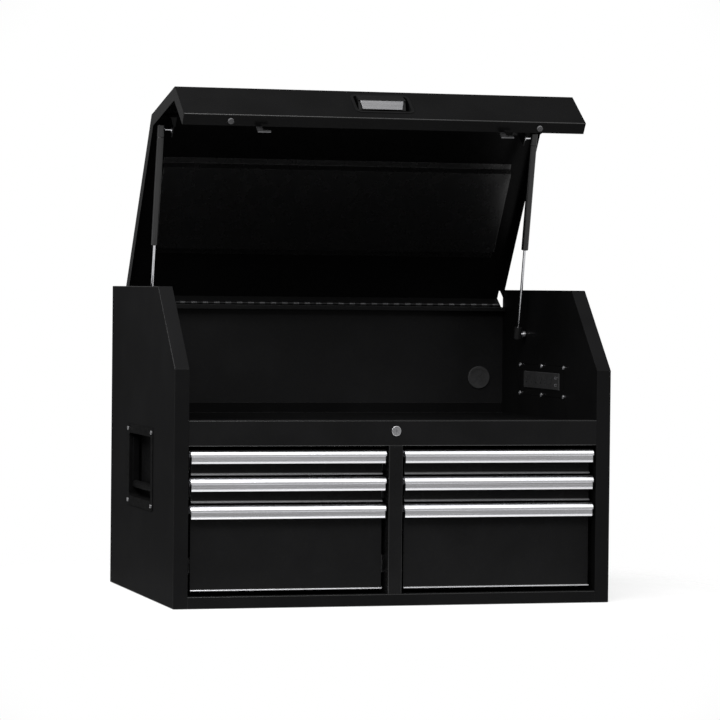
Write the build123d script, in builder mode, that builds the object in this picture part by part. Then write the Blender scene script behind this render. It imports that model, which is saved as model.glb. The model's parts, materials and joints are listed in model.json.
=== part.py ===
from build123d import *
from math import cos, hypot, radians, sin, sqrt
import os

os.makedirs("parts", exist_ok=True)

# A lidded top chest of folded sheet steel, with two columns of three drawers.
# X runs to the right, Y to the back and Z up. The origin is the middle of the base.
# All sizes are in millimetres. The lid stands open, the drawers are shut.

# Cabinet shell
WIDTH = 914.0            # across the outer faces of the side panels
DEPTH = 622.0            # front to back
HEIGHT = 638.0           # floor to the top of the sides
SLOPE = 163.0            # rise and run of the sloping front of the sides
FLANGE = 30.0            # width of the folded rim of a side panel
SHEET = 1.2              # steel of the cabinet and the lid
BEND = 2.0               # outside radius of a fold that shows
SEAT = 0.2               # gap between pieces that are fixed together
RUN = 0.3                # gap between pieces that slide past each other
PLAY = 0.05              # radial play of a pin in its bore

# Rails, post and till
BASE_RAIL = 24.0         # height of the rail under the drawers
BASE_RETURN = 20.0       # fold on top of that rail, going back
UPSTAND = 16.0           # fold at the rear of the bottom panel
TILL_DEEP = 264.5        # top of the rail under the lid, below the top of the sides
RAIL_HEIGHT = 51.5
RAIL_DEPTH = 36.0        # top fold of the rail, front to back
RAIL_FOOT = 22.0         # bottom fold of the rail, going back
RAIL_RETURN = 35.0       # rear fold of the rail, going down
POST = 29.0              # width of the post between the drawer columns
TILL_STEP = 8.0          # till floor below the top of the rail
TILL_REAR = 22.0         # up-turned fold at the rear of the till floor
TILL_SIDE = 20.0         # down-turned folds at the sides of the till floor

# Hinge and lid
LID_OPEN = 55.6          # degrees between the shut lid and the open one
LID_GAP = 2.0            # around the lid, to the walls and the back
LID_SKIRT = 26.0         # fold down the sides of the lid
LID_LIP = 26.0           # fold under the front of the lid, going back
LID_LIFT = 4.5           # lip of the shut lid above the rail
LID_RISE = 7.0           # nose of the lid above the noses of the sides
LID_HEEL = 2.0           # rear fold of the lid ends this far above the hinge axis
HINGE_DROP = 34.0        # hinge axis below the top of the shut lid
LID_RELIEF = 3.5         # rear corners of the lid cut back by this
RELIEF_LENGTH = 16.0     # and this far along the ends
HINGE_INSET = 8.0        # end of the hinge inside the end of the lid
KNUCKLE = 4.0            # outside radius of a hinge knuckle
KNUCKLE_PITCH = 12.7
KNUCKLE_GAP = 0.4        # between neighbouring knuckles
HINGE_PIN = 2.0          # radius of the hinge pin
LEAF = 1.0               # thickness of a hinge leaf
CABINET_LEAF = 14.0      # width of the leaf on the back panel
LID_LEAF = 30.0          # width of the leaf on the lid
HEM_DROP = 9.0           # front fold of the back panel's hem
STIFFENER_REAR = 120.0   # rear edge of the lid stiffener, ahead of the hinge
STIFFENER_AHEAD = 115.5  # its front edge behind the front bend of the lid's top
STIFFENER_RISE = 10.0    # how far it stands off the lid
STIFFENER_FLANGE = 14.0
STIFFENER_LEAN = 6.0     # run of its sloping edges
STIFFENER_INSET = 40.0   # its ends inside the ends of the lid

# Lid handle
CUP_LENGTH = 118.0
CUP_HEIGHT = 62.0
CUP_DROP = 41.0          # middle of the cup below the noses of the sides
CUP_DEPTH = 30.0
CUP_WALL = 2.0
CUP_RIM = 4.0            # rim outside the hole in the lid
CUP_PROUD = 1.0          # thickness of the rim
CUP_CORNER = 10.0
PLATE_TOP = 92.0         # long edge of the handle plate
PLATE_BASE = 84.0        # short edge
PLATE_HEIGHT = 19.5
PLATE_SHEET = 3.0
PLATE_RISE = 5.0         # long edge of the plate above the middle of the cup
PLATE_PROUD = 5.0        # and ahead of the front of the lid
PLATE_LEAN = 37.0        # degrees, short edge leaning into the cup
HOOD_PAST = 4.0          # hood past the ends of the plate
HOOD_LIP = 2.0           # hood past the long edge of the plate
HOOD_EDGE = 3.0          # thickness of the hood behind the short edge
HOOD_HEEL = 12.0         # where the hood meets the floor of the cup, above its middle

# Lid bumpers and latch hooks
BUMPER_INSET = 98.0      # inside the end of the lid
BUMPER_RADIUS = 6.0
BUMPER_SET = 14.0        # behind the front of the lid
HOOK_STARTS = (-272.5, 242.0)  # left edges of the two hooks
HOOK_LEG = 12.0          # width of the leg
HOOK_FOOT = 27.0         # width of the foot, leg included
HOOK_TOE = 6.0           # height of the foot
HOOK_DROP = 19.0         # foot of the hook below the lip
HOOK_SHEET = 2.5
HOOK_BASE = 18.0         # tab on the lip
SLOT_ROOM = 3.0          # around a hook in the rail

# Gas struts
STRUT_INSET = 18.0       # plane of a strut inside the inner wall
FOOT_AHEAD = 154.5       # lower pivot ahead of the hinge axis
FOOT_BELOW = 62.0        # lower pivot below the hinge axis
HEAD_BEHIND = 14.0       # upper pivot behind the front bend of the lid's top
HEAD_DROP = 34.5         # upper pivot below the top of the shut lid
TUBE_RADIUS = 7.5
TUBE_WALL = 1.2
TUBE_END = 6.0           # thickness of the tube's two ends
ROD_RADIUS = 3.0
ROD_HOLD = 25.0          # rod left in the tube of the long strut
FOOT_ROOM = 44.0         # tube to lower pivot on the short strut
PISTON = 10.0            # length of the piston
SOCKET_RADIUS = 8.0
SOCKET_NECK = 15.0       # socket from its pivot towards the strut
SOCKET_END = 12.0        # socket from its pivot outwards
BALL_RADIUS = 5.0
STUD_RADIUS = 3.0
STUD_BASE = 7.0          # radius of the stud's seat
STUD_SEAT = 2.0          # its thickness on the lid's bracket
STUD_BOSS = 7.0          # and on the wall
BRACKET_SHEET = 2.0
BRACKET_REACH = 14.0     # bracket to the strut's head
BRACKET_AHEAD = 11.0     # bracket ahead of its stud
BRACKET_LENGTH = 24.0
BRACKET_TAB = 16.0       # tab under the lid
BRACKET_BELOW = 10.0     # bracket below its stud

# Lock and latch bar
LOCK_DROP = 21.5         # plug's axis below the top of the rail
LOCK_BEZEL = 10.0        # radius of the visible ring
LOCK_PROUD = 2.0
LOCK_BODY = 8.0          # radius of the housing behind the rail
PLUG_RADIUS = 6.0
PLUG_PROUD = 0.5
KEYWAY_WIDTH = 1.8
KEYWAY_HEIGHT = 7.5
KEYWAY_DEPTH = 6.0
CAM_THROW = 10.0         # cam pin from the plug's axis
CAM_RADIUS = 14.5
CAM_SHEET = 4.0
CAM_PIN = 2.0            # radius
CAM_PLAY = 0.6           # cam pin in its slot
CAM_ROOM = 2.0           # cam to latch bar
BAR_SHEET = 1.6
BAR_BELOW = 15.0         # latch bar below the plug's axis
BAR_ABOVE = 8.0          # and above it
BAR_PAST = 20.0          # latch bar past its last finger
FINGER_WIDTH = 12.0
FINGER_REACH = 13.0      # finger ahead of the bar
FINGER_ROOM = 1.5        # finger to hook's foot when unlocked
RIVET_X = 150.0
RIVET_RADIUS = 3.0
RIVET_HEAD = 5.5
RIVET_CAP = 1.5

# Side handles
POCKET_Y = 7.0
POCKET_DROP = 100.0      # middle of the pocket below the till floor
POCKET_LENGTH = 214.0
POCKET_HEIGHT = 136.0
POCKET_DEPTH = 26.0
POCKET_WALL = 2.0
POCKET_CORNER = 8.0
BEZEL = 1.5              # thickness of the rim plate
BEZEL_RIM = 17.0         # rim plate around the pocket
BEZEL_CORNER = 6.0
BEZEL_SCREW = 10.0       # screw inside the edge of the rim plate
BAIL_DEEP = 12.0         # bail's axis behind the outer face of the side
BAIL_TOP = 15.0          # bail's axis below the pocket's upper wall
BAIL_DROP = 92.5         # grip below the bail's axis
BAIL_EYE = 7.0           # arm above the bail's axis
BAIL_ARM = 7.0           # thickness of an arm, front to back
BAIL_THICK = 12.0
BAIL_PIN = 3.0           # radius
BAIL_ROUND = 5.0
GRIP = 16.0              # height of the grip

# Power strip and cable grommet
STRIP_Y = 38.0
STRIP_RISE = 79.0        # middle of the strip above the till floor
STRIP_LENGTH = 231.0
STRIP_HEIGHT = 36.0
STRIP_DEPTH = 23.0       # behind the inner wall
STRIP_PROUD = 2.0
STRIP_EDGE = 1.2
STRIP_PLATE = 2.0        # flange behind the inner wall
STRIP_RIM = 10.0         # flange past the screws
STRIP_SCREW_Y = 142.5
STRIP_SCREW_Z = 61.5
OUTLETS = 6
OUTLET_PITCH = 31.0
OUTLET_SHIFT = 17.0      # middle of the outlets behind the middle of the strip
BLADE_GAP = 12.7
BLADE_LENGTH = 7.5
BLADE_WIDTH = 2.0
EARTH_RADIUS = 2.6
EARTH_DROP = 10.0
OUTLET_DEPTH = 8.0
USB_LENGTH = 13.0
USB_HEIGHT = 5.6
USB_TONGUE = 2.4
USB_SHIFT = 97.0         # USB ports ahead of the middle of the strip
USB_PITCH = 15.0
GROMMET_INSET = 55.0     # middle of the grommet inside the inner wall
GROMMET_RISE = 78.0      # and above the till floor
GROMMET_RIM = 25.0
GROMMET_BODY = 21.5
GROMMET_PROUD = 3.0
GROMMET_WEB = 2.0        # membrane, to be cut open along its scores
GROMMET_SCORE = 0.8      # width of a score
GROMMET_CUT = 1.0        # its depth
GROMMET_EYE = 4.0        # radius of the round score in the middle
GROMMET_PETALS = 8

# Screws
SCREW_HEAD = 4.2         # radius
SCREW_CAP = 2.2          # height of the head
SCREW_SHANK = 1.9        # radius
SCREW_LENGTH = 8.0
RECESS_LENGTH = 4.4
RECESS_WIDTH = 0.9
RECESS_DEPTH = 1.2

# Drawers, from the top row to the bottom row
ROW_NAMES = ("top", "middle", "bottom")
SHALLOW = 50.5           # height of the two upper rows
ROW_GAP = 4.5            # between rows
TOP_GAP = 7.5            # top row to the rail
BASE_GAP = 9.5           # bottom row to the rail under it
FACE_RECESS = 20.0       # drawer face behind the front of the cabinet
FACE_GAP = 8.7           # drawer face to the sides of its bay
FACE_RISE = 6.0          # kicked-out lower edge of a drawer face
FACE_KICK = 4.0
DRAWER_SHEET = 1.0
DRAWER_ROOM = 43.6       # back of a drawer to the back panel
BOX_DROP = 6.5           # drawer sides below the top of the row
BOX_RAISE = 3.0          # drawer floor above the bottom of the row
SLIDE_SPACE = 13.2       # drawer side to the wall of its bay
SLIDE_STEEL = 1.2
SLIDE_HEIGHT = 35.0
SLIDE_SETBACK = 28.0     # slides behind the drawer face
DEEP_SLIDE = 45.0        # middle of the bottom row's slides above its drawer floor
HANDLE_GAP = 5.2         # pull to the sides of its bay
HANDLE_HEIGHT = 27.0
HANDLE_WALL = 2.5
HANDLE_NOSE = 12.0       # radius of the round upper front
HANDLE_STEP = 1.6        # groove under the nose
HANDLE_GROOVE = 4.4      # lower groove above the bottom edge
HANDLE_LEAN = 2.4        # lower edge behind the nose
HANDLE_TAB = 16.0        # tab on the drawer face
HANDLE_TRIM = 1.5        # skirt inside the ends of the nose

# Places that follow from the sizes above
FRONT = -DEPTH / 2
BACK = DEPTH / 2
INNER = WIDTH / 2 - FLANGE
BROW = HEIGHT - SLOPE
BACK_FACE = BACK - 2 * SHEET
RAIL_TOP = HEIGHT - TILL_DEEP
RAIL_BOTTOM = RAIL_TOP - RAIL_HEIGHT
RAIL_BACK = FRONT + RAIL_DEPTH
TILL = RAIL_TOP - TILL_STEP
BAY = INNER - POST / 2
BAY_X = (INNER + POST / 2) / 2
FACE = FRONT + FACE_RECESS
FIXED_HALF = INNER - SEAT
DRAWER_DEPTH = BACK_FACE - DRAWER_ROOM - FACE
SLIDE_LENGTH = DRAWER_DEPTH - SLIDE_SETBACK
SKIN = WIDTH / 2 - SHEET

HINGE_Z = HEIGHT - HINGE_DROP
HINGE_Y = BACK - LID_GAP - SHEET - KNUCKLE - RUN
HINGE = Vector(0, HINGE_Y, HINGE_Z)
HEM_TOP = HINGE_Z - KNUCKLE - RUN
LID_HALF = INNER - LID_GAP
LID_BASE = RAIL_TOP + LID_LIFT
LID_BACKWARD = Vector(0, cos(radians(LID_OPEN)), -sin(radians(LID_OPEN)))
LID_UP = Vector(0, sin(radians(LID_OPEN)), cos(radians(LID_OPEN)))
# Sketches on this plane use places of the shut lid, measured from the hinge axis
LID_SIDE = Plane(origin=HINGE, x_dir=LID_BACKWARD, z_dir=(1, 0, 0))
HINGE_SIDE = Plane(origin=HINGE, x_dir=(0, 1, 0), z_dir=(1, 0, 0))
LID_TOP = HINGE_DROP
LID_CEILING = LID_TOP - SHEET - SEAT

BUMPER_X = LID_HALF - BUMPER_INSET
STRUT_X = INNER - STRUT_INSET
HEAD_U = FRONT + SLOPE + HEAD_BEHIND - HINGE_Y
HEAD_V = LID_TOP - HEAD_DROP
FOOT_Y = HINGE_Y - FOOT_AHEAD
FOOT_Z = HINGE_Z - FOOT_BELOW
HEAD_OPEN = LID_SIDE.from_local_coords((HEAD_U, HEAD_V, 0))
STRUT_LONG = hypot(HEAD_OPEN.Y - FOOT_Y, HEAD_OPEN.Z - FOOT_Z)
STRUT_SHORT = hypot(HEAD_U + FOOT_AHEAD, HEAD_V + FOOT_BELOW)
TUBE_REACH = STRUT_SHORT - FOOT_ROOM

LOCK_Z = RAIL_TOP - LOCK_DROP
LOCK_FRONT = Plane(origin=(0, FRONT, LOCK_Z), x_dir=(1, 0, 0), z_dir=(0, -1, 0))
CAM_PIN_X = CAM_THROW / sqrt(2)
BAR_BACK = RAIL_BACK - SHEET - RUN
BAR_FRONT = BAR_BACK - BAR_SHEET
CAM_BACK = BAR_FRONT - CAM_ROOM
CAM_FRONT = CAM_BACK - CAM_SHEET
BAR_TRAVEL = sqrt(2) * CAM_THROW
HOOK_FRONT = FRONT + LID_LIP + SEAT
HOOK_BACK = HOOK_FRONT + HOOK_SHEET
HOOK_TIP = LID_BASE - HOOK_DROP
FINGER_LOW = HOOK_TIP + HOOK_TOE + 2 * RUN
FINGER_HIGH = RAIL_TOP - SHEET - 2 * RUN

POCKET_Z = TILL - POCKET_DROP
BEZEL_LENGTH = POCKET_LENGTH + 2 * BEZEL_RIM
BEZEL_HEIGHT = POCKET_HEIGHT + 2 * BEZEL_RIM
BEZEL_SCREW_Y = BEZEL_LENGTH - 2 * BEZEL_SCREW
BEZEL_SCREW_Z = BEZEL_HEIGHT - 2 * BEZEL_SCREW
BAIL_X = WIDTH / 2 - BAIL_DEEP
BAIL_Z = POCKET_Z + POCKET_HEIGHT / 2 - POCKET_WALL - BAIL_TOP
BAIL_SPAN = POCKET_LENGTH - 2 * (POCKET_WALL + RUN)
SCREW_HOLE = SCREW_SHANK + SEAT

STRIP_Z = TILL + STRIP_RISE
GROMMET_X = INNER - GROMMET_INSET
GROMMET_Z = TILL + GROMMET_RISE

SIDES = {"left": -1, "right": 1}


def strip(path, depth):
    """Corners of a strip that lies to the left of an open path, with mitred bends."""
    points = [Vector(*point) for point in path]
    ways = [(end - start).normalized() for start, end in zip(points, points[1:])]
    lefts = [Vector(-way.Y, way.X) for way in ways]
    inner = [points[0] + lefts[0] * depth]
    for point, before, after in zip(points[1:-1], lefts, lefts[1:]):
        inner.append(point + (before + after) * (depth / (1 + before.dot(after))))
    inner.append(points[-1] + lefts[-1] * depth)
    return points + inner[::-1]


def polygon(points):
    """Filled outline in the current sketch."""
    with BuildLine() as outline:
        Polyline(*points, close=True)
    make_face(outline.edges())


def block(low, high, mode=Mode.ADD):
    """Rectangle between two corners in the current sketch."""
    with Locations(((low[0] + high[0]) / 2, (low[1] + high[1]) / 2)):
        Rectangle(high[0] - low[0], high[1] - low[1], mode=mode)


def fold(piece, *corners):
    """Round the folds along X that pass through the given Y and Z places."""
    along = piece.edges().filter_by(Axis.X)
    fillet([along.sort_by_distance((0, *corner))[0] for corner in corners], BEND)


def outward(side, x, y, z):
    """Plane that looks out of the left or the right side."""
    return Plane(origin=(side * x, y, z), x_dir=(0, side, 0), z_dir=(side, 0, 0))


def save(piece, name):
    """Name a finished piece and write it."""
    piece.part.label = name
    export_step(piece.part, f"parts/{name}.step")


def side_outline():
    """Side view of the cabinet in the current sketch."""
    polygon([(FRONT, 0), (FRONT, BROW), (FRONT + SLOPE, HEIGHT), (BACK, HEIGHT), (BACK, 0)])


def side_panel(side):
    """Outer pan of one side, with the hole for the handle pocket."""
    with BuildPart() as panel:
        with BuildSketch(Plane.YZ.offset(side * WIDTH / 2)):
            side_outline()
        extrude(amount=-side * FLANGE)
        fold(panel, (FRONT, BROW), (FRONT + SLOPE, HEIGHT))
        with BuildSketch(Plane.YZ.offset(side * SKIN)):
            side_outline()
            offset(amount=-SHEET, kind=Kind.INTERSECTION)
        extrude(amount=-side * FLANGE, mode=Mode.SUBTRACT)
        rim = panel.faces().sort_by(Axis.X)[0 if side < 0 else -1]
        fillet(rim.outer_wire().edges(), BEND)
        with BuildSketch(outward(side, WIDTH / 2, POCKET_Y, POCKET_Z)):
            RectangleRounded(POCKET_LENGTH + 2 * SEAT, POCKET_HEIGHT + 2 * SEAT, POCKET_CORNER)
            with GridLocations(BEZEL_SCREW_Y, BEZEL_SCREW_Z, 2, 2):
                Circle(SCREW_HOLE)
        extrude(amount=-SHEET, mode=Mode.SUBTRACT)
    return panel


def inner_wall(side):
    """Flat wall that closes one side pan, with the power strip's cut-out on the right."""
    with BuildPart() as wall:
        with BuildSketch(Plane.YZ.offset(side * INNER)):
            side_outline()
            offset(amount=-(SHEET + SEAT), kind=Kind.INTERSECTION)
            block((BACK_FACE - SEAT, 0), (BACK, HEIGHT), mode=Mode.SUBTRACT)
            if side > 0:
                with Locations((STRIP_Y, STRIP_Z)):
                    Rectangle(STRIP_LENGTH + 2 * SEAT, STRIP_HEIGHT + 2 * SEAT, mode=Mode.SUBTRACT)
                    with GridLocations(STRIP_SCREW_Y, STRIP_SCREW_Z, 3, 2):
                        Circle(SCREW_HOLE, mode=Mode.SUBTRACT)
        extrude(amount=side * SHEET)
    return wall


def handle_pocket(side):
    """Moulded pocket of a side handle, with its rim plate and the holes of the bail's pins."""
    outer = outward(side, WIDTH / 2, POCKET_Y, POCKET_Z)
    bore = Plane(origin=(side * BAIL_X, POCKET_Y, BAIL_Z), x_dir=(1, 0, 0), z_dir=(0, 1, 0))
    with BuildPart() as pocket:
        with BuildSketch(outer):
            RectangleRounded(BEZEL_LENGTH, BEZEL_HEIGHT, BEZEL_CORNER)
            with GridLocations(BEZEL_SCREW_Y, BEZEL_SCREW_Z, 2, 2):
                Circle(SCREW_HOLE, mode=Mode.SUBTRACT)
        extrude(amount=BEZEL)
        with BuildSketch(outer):
            RectangleRounded(POCKET_LENGTH, POCKET_HEIGHT, POCKET_CORNER)
        extrude(amount=-POCKET_DEPTH)
        with BuildSketch(outer.offset(BEZEL)):
            RectangleRounded(
                POCKET_LENGTH - 2 * POCKET_WALL,
                POCKET_HEIGHT - 2 * POCKET_WALL,
                POCKET_CORNER - POCKET_WALL,
            )
        extrude(amount=-(BEZEL + POCKET_DEPTH - POCKET_WALL), mode=Mode.SUBTRACT)
        with BuildSketch(bore):
            Circle(BAIL_PIN + PLAY)
        extrude(amount=POCKET_LENGTH, both=True, mode=Mode.SUBTRACT)
    return pocket


def bail(side):
    """Swinging handle: a grip between two arms, with a pin at the top of each arm."""
    axis = Plane(origin=(side * BAIL_X, POCKET_Y, BAIL_Z), x_dir=(1, 0, 0), z_dir=(0, 1, 0))
    with BuildPart() as handle:
        with BuildSketch(outward(side, BAIL_X, POCKET_Y, BAIL_Z)):
            with Locations((0, -BAIL_DROP)):
                Rectangle(BAIL_SPAN, GRIP)
            arm_middle = (BAIL_EYE - BAIL_DROP) / 2
            with GridLocations(BAIL_SPAN - BAIL_ARM, 0, 2, 1):
                with Locations((0, arm_middle)):
                    Rectangle(BAIL_ARM, BAIL_DROP + BAIL_EYE)
        extrude(amount=BAIL_THICK / 2, both=True)
        levels = handle.edges().filter_by(Axis.Y).group_by(Axis.Z)
        fillet(levels[0] + levels[1] + levels[-1], BAIL_ROUND)
        for end in (-1, 1):
            with BuildSketch(axis.offset(end * BAIL_SPAN / 2)):
                Circle(BAIL_PIN)
            extrude(amount=end * (RUN + POCKET_WALL))
    return handle


def channel(near, far, height, open_near):
    """Section of a slide member in the current sketch, from the wall outwards."""
    block((near, -height / 2), (far, height / 2))
    hollow = height / 2 - SLIDE_STEEL
    start = near if open_near else near + SLIDE_STEEL
    end = far - SLIDE_STEEL if open_near else far
    block((start, -hollow), (end, hollow), mode=Mode.SUBTRACT)


def slide_member(x, way, z, layer):
    """One slide member: layer 0 is fixed to the wall, 1 runs between, 2 is fixed to the drawer."""
    step = SLIDE_STEEL + RUN
    near = layer * step
    far = SLIDE_SPACE if layer == 2 else SLIDE_SPACE - step
    start = Plane(origin=(x, FACE + SLIDE_SETBACK, z), x_dir=(way, 0, 0), z_dir=(0, 1, 0))
    with BuildSketch(start) as section:
        channel(near, far, SLIDE_HEIGHT - 2 * near, layer == 2)
    extrude(section.sketch, amount=SLIDE_LENGTH)


def drawer_box(x, low, high):
    """Tray of one drawer with its face, whose lower edge kicks out."""
    width = BAY - 2 * SLIDE_SPACE
    floor = low + BOX_RAISE
    with BuildPart() as drawer:
        with BuildSketch(Plane.XY.offset(floor)):
            block((x - width / 2, FACE), (x + width / 2, FACE + DRAWER_DEPTH))
        extrude(amount=high - BOX_DROP - floor)
        with BuildSketch(Plane.XY.offset(floor + DRAWER_SHEET)):
            block(
                (x - width / 2 + DRAWER_SHEET, FACE + DRAWER_SHEET),
                (x + width / 2 - DRAWER_SHEET, FACE + DRAWER_DEPTH - DRAWER_SHEET),
            )
        extrude(amount=high - low, mode=Mode.SUBTRACT)
        with BuildSketch(Plane.YZ.offset(x)):
            face = [(FACE, high - HANDLE_WALL), (FACE, low + FACE_RISE), (FACE - FACE_KICK, low)]
            polygon(strip(face, DRAWER_SHEET))
        extrude(amount=BAY / 2 - FACE_GAP, both=True)
    return drawer


def drawer_pull(x, high):
    """Full-width pull: a round nose with a skirt that hangs in front of the drawer face."""
    reach = FACE_RECESS
    base = -HANDLE_HEIGHT
    groove = base + HANDLE_GROOVE
    neck = -HANDLE_NOSE - HANDLE_STEP / 2
    half_step = HANDLE_STEP / 2
    low_edge = reach - HANDLE_LEAN
    mid_edge = low_edge + half_step

    def place(ahead, up):
        return (FACE - ahead, high + up)

    with BuildPart() as pull:
        with BuildSketch(Plane.YZ.offset(x)):
            with BuildLine():
                Line(place(-DRAWER_SHEET, 0), place(reach - HANDLE_NOSE, 0))
                TangentArc(place(reach - HANDLE_NOSE, 0), place(reach, -HANDLE_NOSE), tangent=(-1, 0))
                Polyline(
                    place(reach, -HANDLE_NOSE),
                    place(reach, neck),
                    place(reach - HANDLE_STEP, neck - half_step),
                    place(mid_edge, groove + half_step),
                    place(mid_edge - HANDLE_STEP / 2, groove),
                    place(mid_edge, groove - half_step),
                    place(low_edge, base),
                    place(low_edge - HANDLE_WALL, base),
                    place(reach - HANDLE_STEP - HANDLE_WALL, neck),
                    place(reach - HANDLE_WALL, -HANDLE_NOSE),
                )
                TangentArc(
                    place(reach - HANDLE_WALL, -HANDLE_NOSE),
                    place(reach - HANDLE_NOSE, -HANDLE_WALL),
                    tangent=(0, 1),
                )
                Polyline(
                    place(reach - HANDLE_NOSE, -HANDLE_WALL),
                    place(HANDLE_WALL, -HANDLE_WALL),
                    place(HANDLE_WALL, -HANDLE_TAB),
                    place(0, -HANDLE_TAB),
                    place(0, -HANDLE_WALL),
                    place(-DRAWER_SHEET, -HANDLE_WALL),
                    place(-DRAWER_SHEET, 0),
                )
            make_face()
        half = BAY / 2 - HANDLE_GAP
        extrude(amount=half, both=True)
        for end in (-1, 1):
            with BuildSketch(Plane.YZ.offset(x + end * half)):
                block(place(reach, base), place(HANDLE_WALL, neck))
            extrude(amount=-end * HANDLE_TRIM, mode=Mode.SUBTRACT)
    return pull


def knuckles(side_plane, first, tab_low, tab_high):
    """Every second knuckle of the hinge, each with the tab that joins it to its leaf."""
    count = int(2 * (LID_HALF - HINGE_INSET) / KNUCKLE_PITCH)
    start = -count * KNUCKLE_PITCH / 2
    for index in range(first, count, 2):
        with BuildSketch(side_plane.offset(start + index * KNUCKLE_PITCH + KNUCKLE_GAP / 2)) as section:
            Circle(KNUCKLE)
            block(tab_low, tab_high)
        extrude(section.sketch, amount=KNUCKLE_PITCH - KNUCKLE_GAP)


def hinge_leaf(side_plane, first, leaf_low, leaf_high, tab_low, tab_high):
    """One leaf of the long hinge with its knuckles, bored for the pin."""
    with BuildPart() as leaf:
        with BuildSketch(side_plane):
            block(leaf_low, leaf_high)
        extrude(amount=LID_HALF - HINGE_INSET, both=True)
        knuckles(side_plane, first, tab_low, tab_high)
        with BuildSketch(side_plane):
            Circle(HINGE_PIN + PLAY)
        extrude(amount=LID_HALF, both=True, mode=Mode.SUBTRACT)
    return leaf


def on_lid(y, z):
    """Place of the shut lid, measured from the hinge axis."""
    return (y - HINGE_Y, z - HINGE_Z)


def strut_axis(side, along):
    """Plane across a strut, at a distance from its lower pivot."""
    way = Vector(0, HEAD_OPEN.Y - FOOT_Y, HEAD_OPEN.Z - FOOT_Z)
    pivot = Plane(origin=(side * STRUT_X, FOOT_Y, FOOT_Z), x_dir=(1, 0, 0), z_dir=way)
    return pivot.offset(along)


def disc(plane, radius, length, mode=Mode.ADD):
    """Round bar from a plane, in the current part."""
    with BuildSketch(plane) as section:
        Circle(radius)
    extrude(section.sketch, amount=length, mode=mode)


def strut_cylinder(side):
    """Upper half of a gas strut: the hollow tube, and the moulded socket at its head."""
    low = STRUT_LONG - TUBE_REACH
    high = STRUT_LONG - SOCKET_NECK - SEAT
    bore = high - low - 2 * TUBE_END
    with BuildPart() as cylinder:
        disc(strut_axis(side, low), TUBE_RADIUS, high - low)
        fillet(cylinder.edges().filter_by(GeomType.CIRCLE), TUBE_WALL)
        disc(strut_axis(side, low + TUBE_END), TUBE_RADIUS - TUBE_WALL, bore, Mode.SUBTRACT)
        disc(strut_axis(side, low), ROD_RADIUS + PLAY, TUBE_END, Mode.SUBTRACT)
        disc(strut_axis(side, high + SEAT), SOCKET_RADIUS, SOCKET_NECK + SOCKET_END)
        fillet(cylinder.edges().filter_by(GeomType.CIRCLE).sort_by(Axis.Z)[-1], ROD_RADIUS)
    return cylinder


def strut_rod(side):
    """Lower half of a gas strut: the rod with its piston, and the socket around the wall's ball."""
    top = STRUT_LONG - TUBE_REACH + ROD_HOLD
    pivot = outward(side, STRUT_X, FOOT_Y, FOOT_Z)
    with BuildPart() as rod:
        disc(strut_axis(side, -SOCKET_END), SOCKET_RADIUS, SOCKET_NECK + SOCKET_END)
        fillet(rod.edges().filter_by(GeomType.CIRCLE).sort_by(Axis.Z)[0], ROD_RADIUS)
        with Locations(pivot):
            Sphere(BALL_RADIUS + PLAY, mode=Mode.SUBTRACT)
        disc(pivot, STUD_RADIUS + ROD_RADIUS / 2, 2 * SOCKET_RADIUS, Mode.SUBTRACT)
        disc(strut_axis(side, SOCKET_NECK + SEAT), ROD_RADIUS, top - SOCKET_NECK - SEAT)
        disc(strut_axis(side, top - PISTON), TUBE_RADIUS - TUBE_WALL - RUN, PISTON)
    return rod


def screws(plane, spacing_x, spacing_y, count_x, count_y):
    """Grid of round-headed cross-recess screws in the current part, heads on the plane."""
    with BuildSketch(plane) as heads:
        with GridLocations(spacing_x, spacing_y, count_x, count_y):
            Circle(SCREW_HEAD)
    extrude(heads.sketch, amount=SCREW_CAP)
    with BuildSketch(plane) as shanks:
        with GridLocations(spacing_x, spacing_y, count_x, count_y):
            Circle(SCREW_SHANK)
    extrude(shanks.sketch, amount=-SCREW_LENGTH)
    with BuildSketch(plane.offset(SCREW_CAP)) as recesses:
        with GridLocations(spacing_x, spacing_y, count_x, count_y):
            Rectangle(RECESS_LENGTH, RECESS_WIDTH)
            Rectangle(RECESS_WIDTH, RECESS_LENGTH)
    extrude(recesses.sketch, amount=-RECESS_DEPTH, mode=Mode.SUBTRACT)


# Cabinet sides
for name, side in SIDES.items():
    save(side_panel(side), f"{name}_side_panel")
    save(inner_wall(side), f"{name}_inner_wall")
    save(handle_pocket(side), f"{name}_handle_pocket")
    save(bail(side), f"{name}_handle_bail")

# Back panel with its hem, which carries the hinge
with BuildPart() as back_panel:
    with BuildSketch(Plane.XZ.offset(-BACK_FACE)):
        block((SEAT - SKIN, SHEET + SEAT), (SKIN - SEAT, HEM_TOP))
        with Locations((GROMMET_X, GROMMET_Z)):
            Circle(GROMMET_BODY + SEAT, mode=Mode.SUBTRACT)
    extrude(amount=-SHEET)
    with BuildSketch(Plane.YZ):
        hem_front = HINGE_Y - CABINET_LEAF
        hem_back = BACK_FACE + SHEET
        hem = [(hem_back, HEM_TOP - HEM_DROP), (hem_back, HEM_TOP), (hem_front, HEM_TOP)]
        polygon(strip(hem + [(hem_front, HEM_TOP - HEM_DROP)], SHEET))
    extrude(amount=FIXED_HALF, both=True)
save(back_panel, "back_panel")

# Bottom panel, folded up into the rail under the drawers
with BuildPart() as bottom_panel:
    with BuildSketch(Plane.YZ):
        rear = BACK_FACE - SEAT
        base = [(FRONT + BASE_RETURN, BASE_RAIL), (FRONT, BASE_RAIL), (FRONT, 0), (rear, 0)]
        polygon(strip(base + [(rear, UPSTAND)], SHEET))
    extrude(amount=FIXED_HALF, both=True)
    fold(bottom_panel, (FRONT, BASE_RAIL))
save(bottom_panel, "bottom_panel")

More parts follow.
